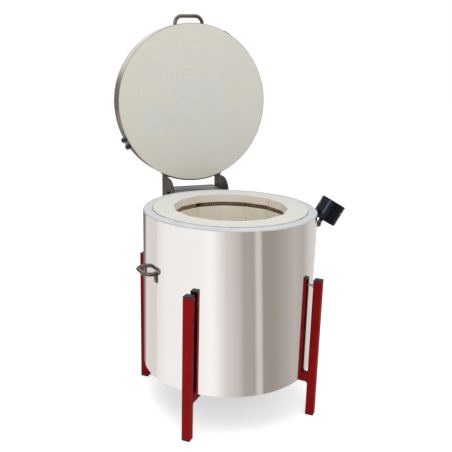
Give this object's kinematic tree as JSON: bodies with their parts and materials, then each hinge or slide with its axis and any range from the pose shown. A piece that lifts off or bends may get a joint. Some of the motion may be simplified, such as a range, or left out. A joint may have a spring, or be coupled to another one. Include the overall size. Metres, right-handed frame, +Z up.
{
  "type": "electric kiln",
  "caption": "Round top-loading electric kiln: polished steel jacket, brick-lined chamber with wound heating elements in grooves, hinged brick lid and a square-tube stand.",
  "frame": {"origin": "on the ground under the middle of the body", "axes": "+Z up, -Y to the front, +Y to the hinge at the back, +X to the right seen from the front"},
  "size_m": [0.7766, 0.7881, 1.4168],
  "materials": {
    "red_paint": "glossy red paint",
    "jacket_steel": "polished stainless sheet",
    "band_steel": "stainless strip",
    "steel": "bright bar and screws",
    "sheet_steel": "galvanised sheet",
    "bracket_steel": "grey paint",
    "plate_steel": "dark oxide",
    "brick": "porous insulating brick",
    "board": "matt board",
    "fibre": "white fibre",
    "element": "oxidised resistance wire",
    "porcelain": "unglazed porcelain",
    "bronze": "plain bearing bronze",
    "black_plastic": "dark moulded plastic",
    "head_black": "glossy black"
  },
  "bodies": {
    "kiln": {"base_beam_long": "red_paint", "base_beam_short": "red_paint", "leg_front_right": "red_paint", "leg_front_left": "red_paint", "leg_rear_right": "red_paint", "leg_rear_left": "red_paint", "leg_top_caps": "black_plastic", "leg_feet": "black_plastic", "standoff_rods": "steel", "standoff_nuts": "steel", "base_pan": "sheet_steel", "floor_backing_board": "board", "floor_bricks": "brick", "jacket": "jacket_steel", "jacket_seam_strip": "jacket_steel", "backing_blanket": "fibre", "wall_bricks": "brick", "heating_element_top": "element", "heating_elements_lower": "element", "terminal_pins": "steel", "terminal_bushings": "porcelain", "terminal_jumpers": "steel", "terminal_block": "porcelain", "terminal_box": "sheet_steel", "terminal_box_cover": "sheet_steel", "terminal_box_screws": "steel", "cable_gland": "black_plastic", "hinge_bracket": "bracket_steel", "hinge_bracket_screws": "steel", "hinge_bushings": "bronze", "hinge_pin": "steel", "hinge_pin_collars": "plate_steel", "lid_stop_studs": "steel", "thermocouple_flange": "steel", "thermocouple_flange_screws": "steel", "thermocouple_neck": "steel", "thermocouple_head": "head_black", "thermocouple_cap": "head_black", "thermocouple_sheath": "porcelain", "side_handle_right": "steel", "side_handle_left": "steel", "side_handle_screws": "steel"},
    "lid": {"lid_bricks": "brick", "lid_backing_board": "board", "lid_band": "band_steel", "lid_band_clamp": "plate_steel", "lid_band_clamp_bolt": "steel", "lid_band_lap_strip": "plate_steel", "lid_hinge_plates": "plate_steel", "lid_hinge_screws": "steel", "lid_handle": "steel", "lid_handle_screws": "steel"}
  },
  "joints": [
    {"name": "lid_hinge", "type": "hinge", "parent": "kiln", "child": "lid", "pos_m": [0, 0.36, 0.7167], "axis": [1, 0, 0], "range_deg": [0, 91.4]}
  ]
}
